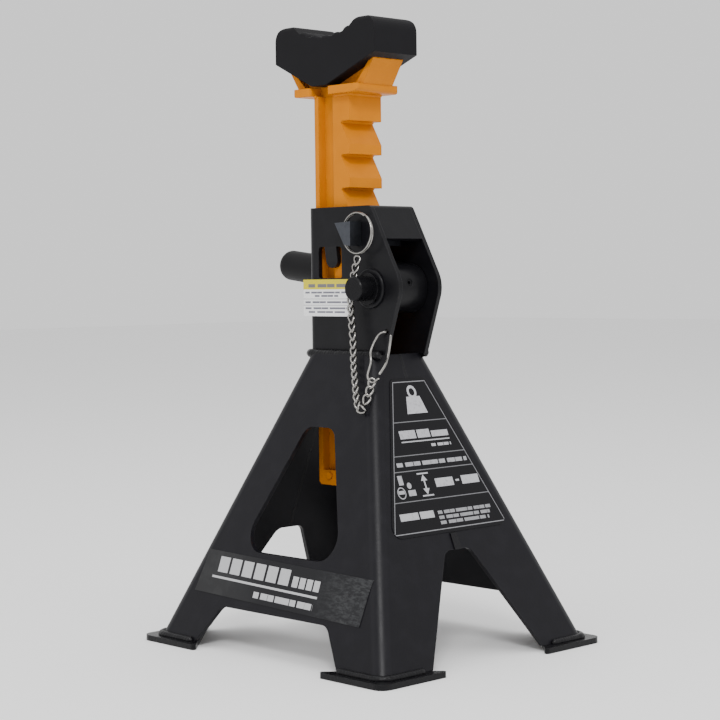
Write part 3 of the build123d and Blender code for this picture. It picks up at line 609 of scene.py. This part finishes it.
def foot_beads(material):
    """Bead round the outside of each leg, on its foot plate."""
    low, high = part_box("foot_welds")
    r = 2.0 * MM
    x, y, z = high[0] - r, high[1] - r, low[2] + 0.4 * MM
    inner_x, inner_y = x - 31 * MM, y - 28.5 * MM
    legs = [(-1, -1), (-1, 1), (1, -1), (1, 1)]
    grids = []
    for seed, (sx, sy) in enumerate(legs, start=20):
        corners = [(sx * inner_x, sy * y, z), (sx * x, sy * y, z), (sx * x, sy * inner_y, z)]
        grids.append(bead(rounded_route(corners, 7.2 * MM), r, 1.9 * MM, seed))
    piece("foot_beads", grids, material, "stand", "foot_welds")


def cradle_bead(material):
    """Small beads under the saddle plate, painted with the post."""
    low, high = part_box("cradle_weld")
    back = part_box("ratchet_post")[0][0]
    r = 1.25 * MM
    x0, x1 = back + 15.2 * MM, high[0] - 1.3 * MM
    y, z = high[1] - 1.3 * MM, high[2] - 0.15 * MM
    outline = rounded_route([(x0, -y, z), (x1, -y, z), (x1, y, z), (x0, y, z)], 1.5 * MM)
    grids = [bead(outline, r, 1.7 * MM, 9)]
    for side in (-y, y):
        corners = [(back + along * MM, side, z) for along in (0, 1, 2)]
        grids.append(bead(rounded_route(corners, 0.1 * MM), r, 1.5 * MM, 40))
    piece("cradle_bead", grids, material, "post", "cradle_weld")


# ------------------------------------------------------------------- the stand, dressed and hung
def dress(names, material):
    """Give CAD nodes a finish."""
    for name in names:
        thing = NODES[name]
        if not thing.material_slots:
            thing.data.materials.append(material)
        for held in thing.material_slots:
            held.material = material


weld_black = weld_coat()
orange = orange_enamel()
nickel = plated_steel("nickel_wire", (0.30, 0.29, 0.275), 0.16, (1, 1, 1), 0.008 * MM)

FEET = [name for name in NODES if name.startswith("foot_plate")]
dress(["base_half_front", "base_half_rear"], powder_coat("sheet_black", (0.0050, 0.0047, 0.0066)))
dress(["base_seam_welds"], weld_black)
dress(FEET, powder_coat("plate_black", (0.0040, 0.0039, 0.0047), 0.26, 1.8 * MM, 0.09 * MM))
dress(["collar_channel", "collar_cover", "pivot_boss_front", "pivot_boss_rear"],
      powder_coat("collar_black", (0.0042, 0.0041, 0.0052), 0.33))
dress(["lever_rod", "thrust_ring"],
      powder_coat("bar_black", (0.0036, 0.0035, 0.0043), 0.27, 1.2 * MM, 0.04 * MM, 0.4 * MM))
dress(["pawl", "pawl_pin"],
      powder_coat("cast_black", (0.0038, 0.0037, 0.0046), 0.30, 1.9 * MM, 0.12 * MM, 0.9 * MM))
dress(["lock_pin"], plated_steel("pin_steel", (0.075, 0.080, 0.092), 0.34, (1, 0.1, 1)))
dress(["ratchet_post", "post_stop_pin", "saddle_cradle"], orange)
dress(["saddle_pad"], moulded_rubber("pad_rubber", (0.0042, 0.0039, 0.0050), 0.58, 0.05 * MM))
dress(["lever_grip"], moulded_rubber("grip_rubber", (0.0048, 0.0046, 0.0052), 0.50, 0.02 * MM))
dress(["band_label"], band_finish())
dress(["info_label"], info_finish())
dress(["caution_label"], caution_finish())

split_ring(nickel)
strand("long_chain_links", long_route(), nickel, "long_strand", "chain_long", LONG_LINKS)
strand("short_chain_links", SHORT_ROUTE, nickel, "clip", "chain_short", SHORT_LINKS)
clip_wires(nickel)
collar_bead(weld_black)
foot_beads(weld_black)
cradle_bead(orange)


# ---------------------------------------------------------------------- floor, light and camera
SOFT_BOXES = (                                  # name, place, aim, width, watts
    ("left_box", (-0.5, -1.8, 1.1), (0, 0, 0.15), 1.2, 6),
    ("right_box", (1.9, 0.3, 1.0), (0, 0, 0.15), 1.2, 5),
    ("top_box", (0.2, -0.2, 2.2), (0, 0, 0.2), 1.6, 14),
    ("edge_box", (1.25, -1.2, 1.55), (0, 0, 0.12), 0.5, 28))
AIR_STRENGTH = 1.05
AZIMUTH, ELEVATION, ROLL = (math.radians(a) for a in (46.45, 2.5, -0.72))
EYE_AWAY, AIM_RIGHT, AIM_UP = 0.967, -0.00316, 0.1496
LENS, SENSOR = 91.4, 36.0


def studio_floor(half=6.0):
    """Large flat sheet under the feet."""
    mesh = bpy.data.meshes.new("studio_floor")
    corners = [(-half, -half, 0), (half, -half, 0), (half, half, 0), (-half, half, 0)]
    mesh.from_pydata(corners, [], [(0, 1, 2, 3)])
    mesh.materials.append(Finish("floor_paint", (0.93, 0.93, 0.93), 0.6, specular=0.2).material)
    made = bpy.data.objects.new("studio_floor", mesh)
    bpy.context.scene.collection.objects.link(made)


def soft_light(name, place, aim, size, watts):
    """Square soft box turned towards aim."""
    lamp = bpy.data.lights.new(name, "AREA")
    lamp.shape, lamp.size, lamp.energy = "SQUARE", size, watts
    made = bpy.data.objects.new(name, lamp)
    made.location = place
    made.rotation_euler = (Vector(aim) - Vector(place)).to_track_quat("-Z", "Y").to_euler()
    bpy.context.scene.collection.objects.link(made)


def studio_air():
    """Even white light from all round."""
    world = bpy.data.worlds.new("studio_air")
    world.use_nodes = True
    bpy.context.scene.world = world
    background = world.node_tree.nodes["Background"]
    background.inputs["Color"].default_value = (1, 1, 1, 1)
    background.inputs["Strength"].default_value = AIR_STRENGTH


def camera():
    """Eye a little above the feet, off the corner between the chain's side and the toothed side."""
    right = Vector((math.cos(AZIMUTH), math.sin(AZIMUTH), 0))
    level = math.cos(ELEVATION)
    back = Vector((math.sin(AZIMUTH) * level, -math.cos(AZIMUTH) * level, math.sin(ELEVATION)))
    up = back.cross(right)
    side = right * math.cos(ROLL) + up * math.sin(ROLL)
    top = up * math.cos(ROLL) - right * math.sin(ROLL)
    lens = bpy.data.cameras.new("camera")
    lens.lens, lens.sensor_width = LENS, SENSOR
    lens.clip_start, lens.clip_end = 0.05, 60.0
    eye = bpy.data.objects.new("camera", lens)
    eye.rotation_mode = "QUATERNION"
    eye.rotation_quaternion = Matrix((side, top, back)).transposed().to_quaternion()
    eye.location = right * AIM_RIGHT + Vector((0, 0, AIM_UP)) + back * EYE_AWAY
    bpy.context.scene.collection.objects.link(eye)
    bpy.context.scene.camera = eye


studio_floor()
studio_air()
for box in SOFT_BOXES:
    soft_light(*box)
camera()
